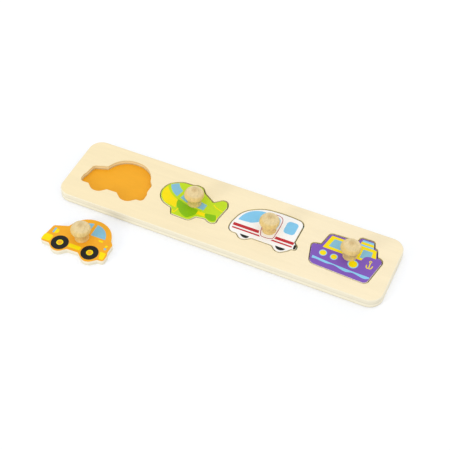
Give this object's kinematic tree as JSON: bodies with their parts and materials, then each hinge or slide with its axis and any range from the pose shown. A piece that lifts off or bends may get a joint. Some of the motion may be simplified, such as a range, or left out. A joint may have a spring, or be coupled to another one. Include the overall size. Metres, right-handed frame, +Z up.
{
  "type": "peg puzzle",
  "caption": "Long wooden peg puzzle: a board with vehicle-shaped bays and printed plywood vehicles on turned knobs, the car lifted out and lying beside it.",
  "frame": {"origin": "middle of the board's underside, on the table", "axes": "+X along the row of bays from the car to the boat, +Y to the back of the board, +Z up"},
  "size_m": [0.3, 0.1288, 0.0259],
  "materials": {
    "board_wood": "pale plywood, sanded and clear coated",
    "car_print": "orange printed vehicle on plywood, satin",
    "plane_print": "green printed vehicle on plywood, satin",
    "van_print": "white printed vehicle on plywood, satin",
    "boat_print": "purple printed vehicle on plywood, satin",
    "knob_wood": "turned hardwood, clear coated",
    "screw_steel": "zinc plated"
  },
  "bodies": {
    "board": {"base_board": "board_wood", "frame_board": "board_wood"},
    "car": {"car_piece": "car_print", "car_knob": "knob_wood", "car_screw": "screw_steel"},
    "plane": {"plane_piece": "plane_print", "plane_knob": "knob_wood", "plane_screw": "screw_steel"},
    "van": {"van_piece": "van_print", "van_knob": "knob_wood", "van_screw": "screw_steel"},
    "boat": {"boat_piece": "boat_print", "boat_knob": "knob_wood", "boat_screw": "screw_steel"}
  },
  "joints": [
    {"name": "car_lift", "type": "slide", "parent": "board", "child": "car", "axis": [0, 0, 1], "range_m": [0, 0.04]},
    {"name": "plane_lift", "type": "slide", "parent": "board", "child": "plane", "axis": [0, 0, 1], "range_m": [0, 0.04]},
    {"name": "van_lift", "type": "slide", "parent": "board", "child": "van", "axis": [0, 0, 1], "range_m": [0, 0.04]},
    {"name": "boat_lift", "type": "slide", "parent": "board", "child": "boat", "axis": [0, 0, 1], "range_m": [0, 0.04]}
  ]
}
